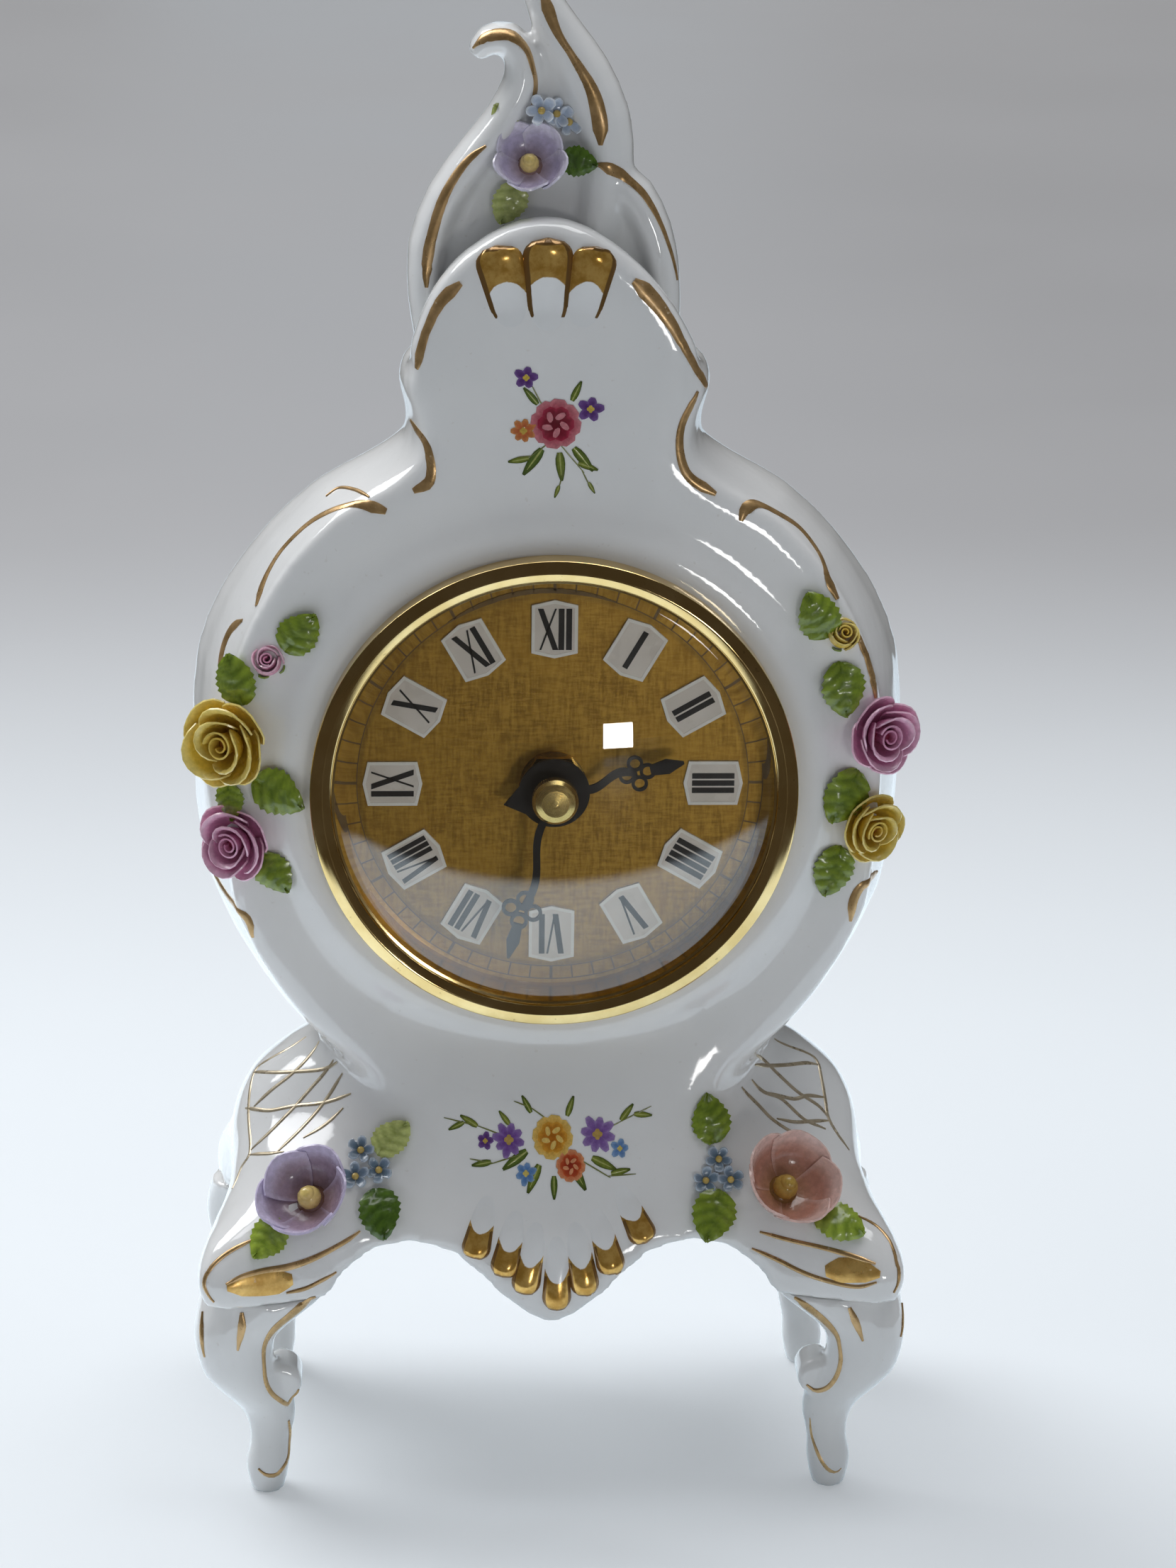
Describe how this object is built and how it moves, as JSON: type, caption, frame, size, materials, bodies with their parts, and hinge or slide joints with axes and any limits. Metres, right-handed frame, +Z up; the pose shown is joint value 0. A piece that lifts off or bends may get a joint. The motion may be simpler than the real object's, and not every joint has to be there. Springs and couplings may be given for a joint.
{
  "type": "porcelain mantel clock",
  "caption": "Rococo porcelain mantel clock on four scroll legs, applied flowers, brass bezel with domed glass, Roman dial, battery movement reached from the back.",
  "frame": {"origin": "middle of the footprint on the floor plane, below the centre of the bounding box", "axes": "+Z up along the clock's height, -Y out of the dial towards the viewer, +X to the viewer's right"},
  "size_m": [0.1288, 0.0712, 0.273],
  "materials": {
    "porcelain": "white feldspar porcelain under a clear glossy glaze, edged with burnished gilding",
    "gilt_porcelain": "relief shells in glazed porcelain, their tips painted with bright brown gold",
    "petal_yellow": "hand-built petals glazed soft yellow with ochre shading",
    "petal_pink": "hand-built petals glazed rose pink, paler at the rims",
    "petal_lilac": "hand-built petals glazed lilac with a yellow heart",
    "petal_salmon": "hand-built petals glazed salmon with an ochre heart",
    "petal_blue": "small pressed flowers glazed grey blue",
    "leaf_green": "veined leaves glazed yellow green to dark green",
    "brass_polished": "spun brass, polished and lacquered",
    "brass_turned": "turned brass, as machined",
    "clear_glass": "domed clear glass",
    "gilt_dial": "pressed brass dial, brushed and lacquered antique gold",
    "plaque_paint": "pale grey plaques with plain black Roman numerals",
    "hand_black": "stamped hands, black enamel",
    "plated_steel": "plated sheet and wire steel",
    "stator_steel": "bare laminated stator steel",
    "rubber_black": "soft black rubber",
    "housing_plastic": "moulded charcoal plastic, fine grain",
    "knob_plastic": "moulded plastic knob with a fluted rim",
    "nylon_white": "natural white acetal gears",
    "magnet_grey": "sintered magnet, nickel plated",
    "copper_wire": "enamelled copper winding",
    "board_green": "glass-fibre board with green resist",
    "cell_jacket": null
  },
  "bodies": {
    "clock_case": {"case_shell": "porcelain", "crest": "porcelain", "leg_front_left": "porcelain", "leg_front_right": "porcelain", "leg_back_left": "porcelain", "leg_back_right": "porcelain", "shield_shell": "gilt_porcelain", "apron_shell": "gilt_porcelain", "crest_cup_flower": "petal_lilac", "crest_small_flowers": "petal_blue", "crest_leaves": "leaf_green", "left_yellow_rose": "petal_yellow", "left_pink_rose": "petal_pink", "left_pink_bud": "petal_pink", "left_leaves": "leaf_green", "right_pink_rose": "petal_pink", "right_yellow_rose": "petal_yellow", "right_yellow_bud": "petal_yellow", "right_leaves": "leaf_green", "base_left_cup_flower": "petal_lilac", "base_left_small_flowers": "petal_blue", "base_left_leaves": "leaf_green", "base_right_cup_flower": "petal_salmon", "base_right_small_flowers": "petal_blue", "base_right_leaves": "leaf_green", "bezel": "brass_polished", "glass": "clear_glass", "sight_ring": "brass_polished", "dial_plate": "gilt_dial", "numeral_plaques": "plaque_paint", "dial_pan": "plated_steel", "clamp_studs": "plated_steel", "clamp_pads": "rubber_black", "clamp_strips": "plated_steel", "clamp_nuts": "brass_turned", "rubber_washer": "rubber_black", "brass_washer": "brass_turned", "hex_nut": "brass_turned", "threaded_bush": "brass_turned", "housing_front": "housing_plastic", "housing_back": "housing_plastic", "stator": "stator_steel", "coil": "copper_wire", "circuit_board": "board_green", "contact_positive": "plated_steel", "contact_negative": "plated_steel"},
    "minute": {"minute_arbor": "plated_steel", "minute_hand": "hand_black", "hand_nut": "brass_polished"},
    "hour": {"hour_wheel": "nylon_white", "hour_hand": "hand_black"},
    "minute_wheel_body": {"minute_wheel": "nylon_white"},
    "knob": {"setting_knob": "knob_plastic"},
    "fourth": {"fourth_wheel": "nylon_white"},
    "third": {"third_wheel": "nylon_white"},
    "centre": {"centre_wheel": "nylon_white"},
    "rotor_body": {"rotor": "magnet_grey"},
    "cell": {"battery": "cell_jacket"}
  },
  "joints": [
    {"name": "minute_spin", "type": "hinge", "parent": "clock_case", "child": "minute", "pos_m": [0, 0, 0.13], "axis": [0, 1, 0], "continuous": true},
    {"name": "hour_spin", "type": "hinge", "parent": "clock_case", "child": "hour", "pos_m": [0, 0, 0.13], "axis": [0, 1, 0], "continuous": true},
    {"name": "minute_wheel_spin", "type": "hinge", "parent": "clock_case", "child": "minute_wheel_body", "pos_m": [-0.00728, 0, 0.1342], "axis": [0, 1, 0], "continuous": true},
    {"name": "knob_spin", "type": "hinge", "parent": "clock_case", "child": "knob", "pos_m": [-0.01209, 0, 0.14108], "axis": [0, 1, 0], "continuous": true},
    {"name": "fourth_spin", "type": "hinge", "parent": "clock_case", "child": "fourth", "pos_m": [0.01102, 0, 0.14029], "axis": [0, 1, 0], "continuous": true},
    {"name": "third_spin", "type": "hinge", "parent": "clock_case", "child": "third", "pos_m": [0.00762, 0, 0.1344], "axis": [0, 1, 0], "continuous": true},
    {"name": "centre_spin", "type": "hinge", "parent": "clock_case", "child": "centre", "pos_m": [0, 0, 0.13], "axis": [0, 1, 0], "continuous": true},
    {"name": "rotor_spin", "type": "hinge", "parent": "clock_case", "child": "rotor_body", "pos_m": [0.01002, 0, 0.14596], "axis": [0, 1, 0], "continuous": true},
    {"name": "battery_slide", "type": "slide", "parent": "clock_case", "child": "cell", "axis": [0, 1, 0], "range_m": [0, 0.04]}
  ],
  "couplings": [
    {"joint": "hour_spin", "follows": "minute_spin", "ratio": 0.083333},
    {"joint": "minute_wheel_spin", "follows": "minute_spin", "ratio": -0.33333},
    {"joint": "knob_spin", "follows": "minute_spin", "ratio": 1},
    {"joint": "third_spin", "follows": "fourth_spin", "ratio": -0.13333},
    {"joint": "centre_spin", "follows": "fourth_spin", "ratio": 0.013333},
    {"joint": "rotor_spin", "follows": "fourth_spin", "ratio": -8}
  ]
}
